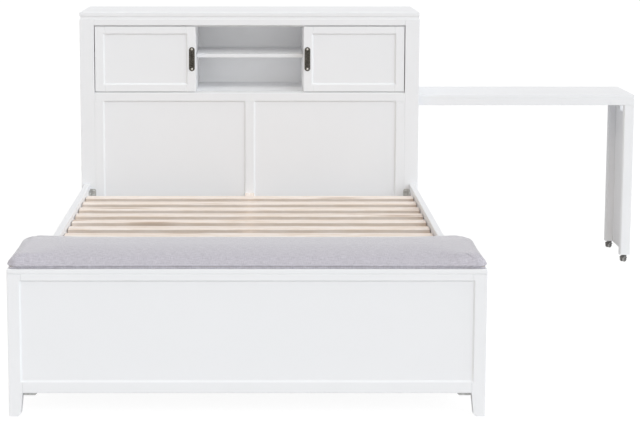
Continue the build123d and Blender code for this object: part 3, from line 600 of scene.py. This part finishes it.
bracket_screws = []
headboard_face = rail_brackets_high.y
bench_face = rail_brackets_low.y
bracket_steel = 3 * millimetre
post_screw_from_middle = 0.688
post_screw_heights = (0.311, 0.329)
rail_screw_from_middle = 0.6995
rail_screw_height = 0.32
rail_screw_steps = (0.026, 0.066)
button_head = (5.6 * millimetre, 2.6 * millimetre, hex_socket, 1.9 * millimetre, 1.6 * millimetre)
for side in (-1, 1):
    for wall, into_bed in ((headboard_face, -1), (bench_face, 1)):
        across = bed_middle_x + side * post_screw_from_middle
        for height in post_screw_heights:
            spot = (across, wall + into_bed * bracket_steel, height)
            bracket_screws.append((spot, (0, into_bed, 0)))
        across = bed_middle_x + side * rail_screw_from_middle
        for step in rail_screw_steps:
            spot = (across, wall + into_bed * step, rail_screw_height)
            bracket_screws.append((spot, (-side, 0, 0)))
heads = [screw_head(spot, out, *button_head) for spot, out in bracket_screws]
rail_screws = surface_mesh("rail_bracket_screws", heads)
rail_screws.data.shade_smooth()
rail_screws.data.materials.append(zinc)
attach(rail_screws, "bed")


# Two screws hold each pull, one at each end of its plate. Their domed heads are rubbed
# bright by hands.
bright_bronze = metal("rubbed_bronze", (0.42, 0.4, 0.36), (0.72, 0.7, 0.66), 0.36, 0.2, 300, 1)
pull_screw_offset = 0.0432
domed_head = (4.3 * millimetre, 1.9 * millimetre, cross_socket, 1.9 * millimetre, 0.9 * millimetre)
for side in ("left", "right"):
    plate_low, plate_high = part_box(f"{side}_door_pull")
    middle_x = (plate_low.x + plate_high.x) / 2
    middle_z = (plate_low.z + plate_high.z) / 2
    heads = [
        screw_head((middle_x, plate_low.y, middle_z + offset), (0, -1, 0), *domed_head)
        for offset in (-pull_screw_offset, pull_screw_offset)
    ]
    pull_screws = surface_mesh(f"{side}_pull_screws", heads)
    pull_screws.data.shade_smooth()
    pull_screws.data.materials.append(bright_bronze)
    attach(pull_screws, f"{side}_door")


# The bench is the footboard: four tapered legs, rails with sunk panels between them, a
# mitred cap on top and a back and a floor that make it a box. All of it is lacquered.
dress(lacquer_upright, "bench_left_front_leg", "bench_right_front_leg", "bench_back_legs")
dress(lacquer_across, "bench_rails", "bench_top_cap")
dress(
    lacquer_on_board,
    "bench_front_panel",
    "bench_side_panels",
    "bench_back_panel",
    "bench_floor_panel",
)


# Behind each front foot a small steel angle ties the leg to the bottom rail. Its lower
# edge shows under the rail.
dress(zinc, "bench_corner_brackets")


# Three steel hinges carry the lid. Their leaves are let in flush, each with three
# countersunk screws.
dress(zinc, "bench_hinge_box_leaves", "bench_hinge_lid_leaves")
leaf_front_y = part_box("bench_hinge_box_leaves")[0].y
bench_top_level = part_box("bench_top_cap")[1].z
leaf_gap = 0.3 * millimetre
lid_leaf_level = bench_top_level + leaf_gap
screw_row_y = leaf_front_y + 12 * millimetre
hinge_places = (-0.48, 0, 0.48)
leaf_screw_steps = (-0.02, 0, 0.02)
flush_rise = 0.12 * millimetre
flush_head = (3.1 * millimetre, flush_rise, cross_socket, 1.9 * millimetre, 0.3 * flush_rise)
socket_floor = 0.68 * flush_rise
socket_floor_spread = 0.08 * flush_rise
# The floors of the cross sockets are coloured near black: a painted shade, as the sockets are too
# shallow to shade themselves.
socket_painted_shade = metal("socket_painted_shade", (0.05, 0.05, 0.05), (0.1, 0.1, 0.1), 0.6, 0.45, 300, 1)
for name, body, level, out in (
    ("hinge_box_screws", "bed", bench_top_level, 1),
    ("hinge_lid_screws", "lid", lid_leaf_level, -1),
):
    heads = [
        screw_head((bed_middle_x + hinge + step, screw_row_y, level), (0, 0, out), *flush_head)
        for hinge in hinge_places
        for step in leaf_screw_steps
    ]
    leaf_screws = surface_mesh(name, heads)
    leaf_screws.data.materials.append(zinc)
    leaf_screws.data.materials.append(socket_painted_shade)
    middles = np.empty(3 * len(leaf_screws.data.polygons))
    leaf_screws.data.polygons.foreach_get("center", middles)
    above = (middles.reshape(-1, 3)[:, 2] - level) * out
    # The faces on each socket's floor get the painted shade.
    painted_shade_faces = np.abs(above - socket_floor) < socket_floor_spread
    leaf_screws.data.polygons.foreach_set("material_index", painted_shade_faces.astype(int))
    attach(leaf_screws, body)


# The lid's base is thin birch plywood, sealed and left bare underneath. Its plies show
# as fine lines along the edges.
plywood, tree, shader = new_material("birch_plywood")
shader.inputs["Specular IOR Level"].default_value = 0.3
veneer = noise(tree, stretched_place(tree, (0.06, 1, 0)), 60, 4, 0.6)
flecks = noise(tree, stretched_place(tree, (0.25, 1, 0)), 700, 2)
plies = add_node(tree, "ShaderNodeTexWave", {"Scale": 110}, bands_direction="Z")
tree.links.new(stretched_place(tree, (1, 1, 1)), plies.inputs["Vector"])
faint_flecks = calculate(tree, "MULTIPLY", flecks, 0.2)
veneer_and_flecks = calculate(tree, "MULTIPLY_ADD", veneer, 0.7, faint_flecks)
layered = calculate(tree, "MULTIPLY_ADD", plies.outputs["Fac"], 0.12, veneer_and_flecks)
birch = ramp(tree, layered, [(0.35, (0.72, 0.57, 0.4)), (0.75, (0.86, 0.74, 0.58))])
tree.links.new(birch, shader.inputs["Base Color"])
tree.links.new(ramp(tree, flecks, [(0.3, 0.6), (0.7, 0.48)]), shader.inputs["Roughness"])
add_bump(tree, shader, flecks, 0.2, 0.0003)
dress(plywood, "bench_lid_base")


# The cushion is a foam pad in a tight cover of heather grey linen, crowned to one long
# crest. The cover is folded at the corners and drawn under, round the plywood's edge.
pad_low, pad_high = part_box("bench_cushion")
pad_half_length = (pad_high.x - pad_low.x) / 2
pad_half_depth = (pad_high.y - pad_low.y) / 2
pad_middle = np.array([(pad_low.x + pad_high.x) / 2, (pad_low.y + pad_high.y) / 2, pad_low.z])
pad_corner = 34 * millimetre
pad_draw_in = 3 * millimetre
crest_half_width = 12 * millimetre
pad_step = 8 * millimetre
corner_columns = 26


def rounded_outline(half_length, half_depth, corner, bow, step):
    """A closed outline: four sides bowed inwards as parabolas, joined by quarter circles.

    Gives the points, their outward normals, and how far each is from a corner's middle.
    """
    points, normals, off_corner = [], [], []
    sides = ((half_length, half_depth), (half_depth, half_length))
    for quarter in range(4):
        half, out = sides[quarter % 2]
        straight = half - corner
        along = np.linspace(-1, 1, int(2 * straight / step), endpoint=False)
        side = np.stack([along * straight, bow * (1 - along**2) - out], axis=-1)
        arc = np.linspace(0, pi / 2, corner_columns, endpoint=False)
        arc_normals = np.stack([np.sin(arc), -np.cos(arc)], axis=-1)
        bend = np.array([straight, corner - out]) + corner * arc_normals
        turn = quarter * pi / 2
        spin = np.array([[np.cos(turn), np.sin(turn)], [-np.sin(turn), np.cos(turn)]])
        side_normals = np.stack([0 * along, 0 * along - 1], axis=-1)
        points.append(np.concatenate([side, bend]) @ spin)
        normals.append(np.concatenate([side_normals, arc_normals]) @ spin)
        arc_distance = np.abs(arc - pi / 4) * corner
        side_distance = straight * (1 - np.abs(along)) + corner * pi / 4
        off_corner.append(np.concatenate([side_distance, arc_distance]))
    return np.concatenate(points), np.concatenate(normals), np.concatenate(off_corner)


edge_points, edge_normals, off_corner = rounded_outline(
    pad_half_length, pad_half_depth, pad_corner, pad_draw_in, pad_step
)
crest_points = edge_points * [1, 0]
ridge_half = pad_half_length - pad_half_depth
crest_points[:, 0] = np.clip(crest_points[:, 0], -ridge_half, ridge_half)
inwards = crest_points - edge_points
reach = np.linalg.norm(inwards, axis=1)
inwards = inwards / reach[:, None]

belly_height = 8 * millimetre
shoulder_height = 11 * millimetre
pad_height = pad_high.z - pad_low.z
sewn_slack = 2.5 * millimetre
tuck = 7 * millimetre
foot_gap = 0.3 * millimetre
dome_reach = pad_half_depth - crest_half_width
dome_power = 2.1
fold_width = 2.4 * millimetre
fold_depth = 1.6 * millimetre
fold_top = 24 * millimetre
fold_fade = 14 * millimetre
fold_reach = 30 * millimetre
back_thinning = 0.45
front_thinning = 0.12
thinning_width = 0.08
end_bulge = 14 * millimetre
end_width = 0.11
swelling_peak = 0.208
dome_share = np.concatenate([[0.006, 0.02], np.linspace(0, 1, 26)[1:] ** 1.2])
dome_rise = pad_height - shoulder_height - sewn_slack
dome_height = shoulder_height + dome_rise * (1 - (1 - dome_share) ** dome_power)
belly_turn = np.linspace(-pi / 2, 0, 7)
belly_rise = (belly_height - foot_gap) * (1 + np.sin(belly_turn)) + foot_gap
under_share = np.array([1, 0.7, 0.45, 0.25, 0.12])
belly_inset = tuck * (1 - np.cos(belly_turn))
row_inset = np.concatenate([under_share * dome_reach, belly_inset, dome_share * dome_reach])
row_height = np.concatenate([0 * under_share + foot_gap, belly_rise, dome_height])


def pad_surface():
    """The pad's rows run from its underside's middle round the belly and up to the crest.

    A point goes from the edge towards the crest by its row's inset, drawn out at the
    corners so that all reach the crest together. The dome's height is a power curve.
    A corner's fold is a groove, a bell curve across, which fades out up the side. The
    pad also thins towards its corners, more at the back, by a wider bell curve, and its
    two ends bulge, most just inside the edge.
    """
    near_edge = np.clip(row_inset[:, None] / dome_reach, 0, 1)
    stretch = 1 + (reach / pad_half_depth - 1) * near_edge
    plan = edge_points + (row_inset[:, None] * stretch)[..., None] * inwards
    fold = np.exp(-((off_corner / fold_width) ** 2))
    fade = np.clip((fold_top - row_height) / fold_fade, 0, 1)
    fade = np.where(row_inset > fold_reach, 0, fade)
    plan = plan - (fold_depth * fade[:, None] * fold)[..., None] * edge_normals
    at_corner = np.exp(-((off_corner / thinning_width) ** 2))
    thinning = np.where(edge_points[:, 1] > 0, back_thinning, front_thinning) * at_corner
    height = row_height[:, None] * (1 - thinning * (1 - near_edge) ** 1.5)
    from_end = pad_half_length - np.abs(edge_points[:, 0])
    near_end = np.exp(-((from_end / end_width) ** 2))
    swelling = np.sqrt(near_edge) * (1 - near_edge) ** 4 / swelling_peak
    bulge = np.where(row_height > belly_height, end_bulge, 0)[:, None]
    height = height + bulge * near_end * swelling
    rows = np.concatenate([plan, np.maximum(height, foot_gap)[..., None]], axis=-1)
    middle = np.concatenate([crest_points, 0 * crest_points[:, :1]], axis=-1)
    under = middle + [0, 0, row_height[0]]
    crest = middle + [0, 0, row_height[-1]]
    return np.concatenate([under[None], rows, crest[None]]) + pad_middle


cushion = surface_mesh("bench_linen_cushion", [pad_surface()])
pad_count = len(cushion.data.vertices)
sewn = np.empty(3 * pad_count)
cushion.data.vertices.foreach_get("co", sewn)
sewn = sewn.reshape(-1, 3)

held = cushion.vertex_groups.new(name="tacked_under")
tacked = np.flatnonzero(sewn[:, 2] < pad_low.z + 5 * millimetre)
held.add(tacked.tolist(), 1, "REPLACE")
cloth = cushion.modifiers.new("linen_cover", "CLOTH")
cloth.settings.quality = 6
cloth.settings.mass = 0.35
cloth.settings.tension_stiffness = 30
cloth.settings.compression_stiffness = 30
cloth.settings.shear_stiffness = 12
cloth.settings.bending_stiffness = 1.5
cloth.settings.use_pressure = True
cloth.settings.uniform_pressure_force = 4
cloth.settings.vertex_group_mass = "tacked_under"
cloth.settings.effector_weights.gravity = 0
cloth.collision_settings.use_collision = False
scene = bpy.context.scene
last_frame = 20
cloth.point_cache.frame_start = 1
cloth.point_cache.frame_end = last_frame
for number in range(1, last_frame + 1):
    scene.frame_set(number)
worked = cushion.evaluated_get(bpy.context.evaluated_depsgraph_get()).data
filled = np.empty(3 * pad_count)
worked.vertices.foreach_get("co", filled)
filled = filled.reshape(-1, 3)
cushion.modifiers.remove(cloth)
scene.frame_set(1)
moved = filled - sewn
distance = np.linalg.norm(moved, axis=1, keepdims=True)
farthest = 5 * millimetre
sewn = sewn + moved * np.minimum(1, farthest / np.maximum(distance, 1e-9))

outside = 2 * millimetre
box_low = np.array(pad_low) - [outside, outside, 0]
box_high = np.array(pad_high) + outside
sewn = np.clip(sewn, box_low, box_high)
cushion.data.vertices.foreach_set("co", sewn.reshape(-1))
cushion.data.update()


def weave_map(piece):
    """Writes a UV map in metres: a point's plan, moved out by its drop below the crest."""
    mesh = piece.data
    where = np.empty(3 * len(mesh.vertices))
    mesh.vertices.foreach_get("co", where)
    where = where.reshape(-1, 3) - pad_middle
    ridge = np.clip(where[:, 0], -ridge_half, ridge_half)
    away = where[:, :2] - np.stack([ridge, 0 * ridge], axis=-1)
    drop = np.clip(shoulder_height - where[:, 2], 0, None)
    square = np.maximum(np.abs(away[:, 0]), np.abs(away[:, 1]))[:, None]
    cloth_place = where[:, :2] + drop[:, None] * away / np.maximum(square, millimetre)
    loop_vertex = np.empty(len(mesh.loops), int)
    mesh.loops.foreach_get("vertex_index", loop_vertex)
    layer = mesh.uv_layers.new(name="weave")
    layer.data.foreach_set("uv", cloth_place[loop_vertex].reshape(-1))


weave_map(cushion)
cushion.data.shade_smooth()
finer = cushion.modifiers.new("finer", "SUBSURF")
finer.levels = 1
finer.render_levels = 1
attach(cushion, "lid")
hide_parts("bench_cushion")

base_low, base_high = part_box("bench_lid_base")
base_middle_x = (base_low.x + base_high.x) / 2
base_middle_y = (base_low.y + base_high.y) / 2
base_middle = np.array([base_middle_x, base_middle_y, base_high.z])
cloth_bulk = 0.8 * millimetre
wrap_corner = 4 * millimetre
wrap_points, wrap_normals, _ = rounded_outline(
    (base_high.x - base_low.x) / 2 + cloth_bulk,
    (base_high.y - base_low.y) / 2 + cloth_bulk,
    wrap_corner,
    0,
    pad_step,
)
wrap_turn = np.linspace(0, 2 * pi, 13)
wrap_out = cloth_bulk * np.cos(wrap_turn)
rim = base_high.z - base_low.z
wrap_level = rim / 2 * (np.sin(wrap_turn) - 1)
wrap_plan = wrap_points + wrap_out[:, None, None] * wrap_normals
wrap_rise = wrap_level[:, None, None] + 0 * wrap_plan[..., :1]
turned_edge = np.concatenate([wrap_plan, wrap_rise], axis=-1) + base_middle
cover_edge = surface_mesh("bench_cushion_turned_edge", [turned_edge])
weave_map(cover_edge)
cover_edge.data.shade_smooth()
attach(cover_edge, "lid")

linen_weave, start, end = new_group(
    "linen_weave",
    {"Threads": 900.0},
    ("Weave", "Heather", "Slub"),
)
cloth_place = add_node(linen_weave, "ShaderNodeUVMap", uv_map="weave")
parts = add_node(linen_weave, "ShaderNodeSeparateXYZ")
linen_weave.links.new(cloth_place.outputs[0], parts.inputs[0])
wave = []
for axis in ("X", "Y"):
    half_turns = calculate(linen_weave, "MULTIPLY", parts.outputs[axis], pi)
    angle = calculate(linen_weave, "MULTIPLY", half_turns, start.outputs["Threads"])
    wave.append(calculate(linen_weave, "SINE", angle))
warp, weft = (calculate(linen_weave, "ABSOLUTE", value) for value in wave)
over = calculate(linen_weave, "MULTIPLY", wave[0], wave[1])
warp_over = calculate(linen_weave, "MULTIPLY_ADD", over, 0.4, 0.6)
weft_over = calculate(linen_weave, "MULTIPLY_ADD", over, -0.4, 0.6)
warp_lift = calculate(linen_weave, "MULTIPLY", warp, warp_over)
weft_lift = calculate(linen_weave, "MULTIPLY", weft, weft_over)
upper_yarn = calculate(linen_weave, "MAXIMUM", warp_lift, weft_lift)
linen_weave.links.new(upper_yarn, end.inputs["Weave"])


def yarn_noise(along_u, along_v, detail):
    """Noise on the cloth, drawn out along one yarn direction."""
    scales = {1: (along_u, along_v, 1)}
    factors = add_node(linen_weave, "ShaderNodeVectorMath", scales, operation="MULTIPLY")
    linen_weave.links.new(cloth_place.outputs[0], factors.inputs[0])
    return noise(linen_weave, factors.outputs[0], 1, detail, 0.6)


weft_yarns = yarn_noise(45, 800, 2)
warp_yarns = yarn_noise(800, 45, 2)
streaks = yarn_noise(55, 240, 3)
warp_tone = calculate(linen_weave, "MULTIPLY", warp_yarns, 0.4)
crossed = calculate(linen_weave, "MULTIPLY_ADD", weft_yarns, 0.4, warp_tone)
heather = calculate(linen_weave, "MULTIPLY_ADD", streaks, 0.35, crossed)
linen_weave.links.new(heather, end.inputs["Heather"])
linen_weave.links.new(weft_yarns, end.inputs["Slub"])

linen, tree, shader = new_material("heather_linen")
shader.inputs["Specular IOR Level"].default_value = 0.2
shader.inputs["Sheen Weight"].default_value = 0.9
shader.inputs["Sheen Roughness"].default_value = 0.4
effect = add_node(tree, "ShaderNodeGroup", node_tree=linen_weave)
effect.inputs["Threads"].default_value = 850
greys = [(0.44, (0.42, 0.402, 0.448)), (0.57, (0.54, 0.52, 0.573)), (0.7, (0.66, 0.64, 0.695))]
tree.links.new(ramp(tree, effect.outputs["Heather"], greys), shader.inputs["Base Color"])
roughness = ramp(tree, effect.outputs["Slub"], [(0.3, 0.95), (0.7, 0.82)])
tree.links.new(roughness, shader.inputs["Roughness"])
cloth_height = calculate(tree, "MULTIPLY_ADD", effect.outputs["Slub"], 0.5, effect.outputs["Weave"])
add_bump(tree, shader, cloth_height, 0.5, 0.0004)
cushion.data.materials.append(linen)
cover_edge.data.materials.append(linen)


# The desk: a top on long aprons, and at its outer end two posts with a panel between
# them, pierced by a hand slot. It is lacquered like the rest.
dress(lacquer_across, "desk_top_board", "desk_side_aprons", "desk_end_rails")
dress(lacquer_upright, "desk_leg_posts")
dress(lacquer_on_board, "desk_leg_panel")


# The desk rolls on two twin-wheel casters. Their hoods are dark grey nylon, and
# their wheels have a pale grey tread round a darker hub.
dark_nylon = moulded("dark_grey_nylon", (0.13, 0.125, 0.12), (0.19, 0.185, 0.18), 0.5)
dress(dark_nylon, "front_caster_fork", "back_caster_fork")
caster_heading = radians(35)
hub_radius = 9 * millimetre
hub_greys = [(0.35, (0.13, 0.125, 0.12)), (0.65, (0.19, 0.185, 0.18))]
tread_greys = [(0.35, (0.34, 0.335, 0.325)), (0.65, (0.44, 0.435, 0.425))]
for name in ("front_caster_wheels", "back_caster_wheels"):
    wheels_low, wheels_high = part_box(name)
    hub, tree, shader = new_material(f"{name}_rubber_and_nylon")
    effect = add_node(tree, "ShaderNodeGroup", node_tree=moulding)
    place = add_node(tree, "ShaderNodeTexCoord")
    centred = add_node(tree, "ShaderNodeVectorMath", operation="SUBTRACT")
    centred.inputs[1].default_value = (wheels_low + wheels_high) / 2
    turn_back = {"Angle": -caster_heading}
    straight = add_node(tree, "ShaderNodeVectorRotate", turn_back, rotation_type="Z_AXIS")
    parts = add_node(tree, "ShaderNodeSeparateXYZ")
    tree.links.new(place.outputs["Object"], centred.inputs[0])
    tree.links.new(centred.outputs[0], straight.inputs["Vector"])
    tree.links.new(straight.outputs[0], parts.inputs[0])
    wheel_x = calculate(tree, "POWER", parts.outputs["X"], 2)
    wheel_z = calculate(tree, "POWER", parts.outputs["Z"], 2)
    from_axle = calculate(tree, "SQRT", calculate(tree, "ADD", wheel_x, wheel_z))
    on_tread = calculate(tree, "GREATER_THAN", from_axle, hub_radius)
    colours = add_node(tree, "ShaderNodeMix", data_type="RGBA")
    tread = ramp(tree, effect.outputs["Flow"], tread_greys)
    core = ramp(tree, effect.outputs["Flow"], hub_greys)
    tree.links.new(on_tread, colours.inputs["Factor"])
    tree.links.new(core, colours.inputs["A"])
    tree.links.new(tread, colours.inputs["B"])
    tree.links.new(colours.outputs["Result"], shader.inputs["Base Color"])
    tree.links.new(ramp(tree, on_tread, [(0, 0.45), (1, 0.7)]), shader.inputs["Roughness"])
    add_bump(tree, shader, effect.outputs["Grain"], 0.25, 0.0001)
    dress(hub, name)
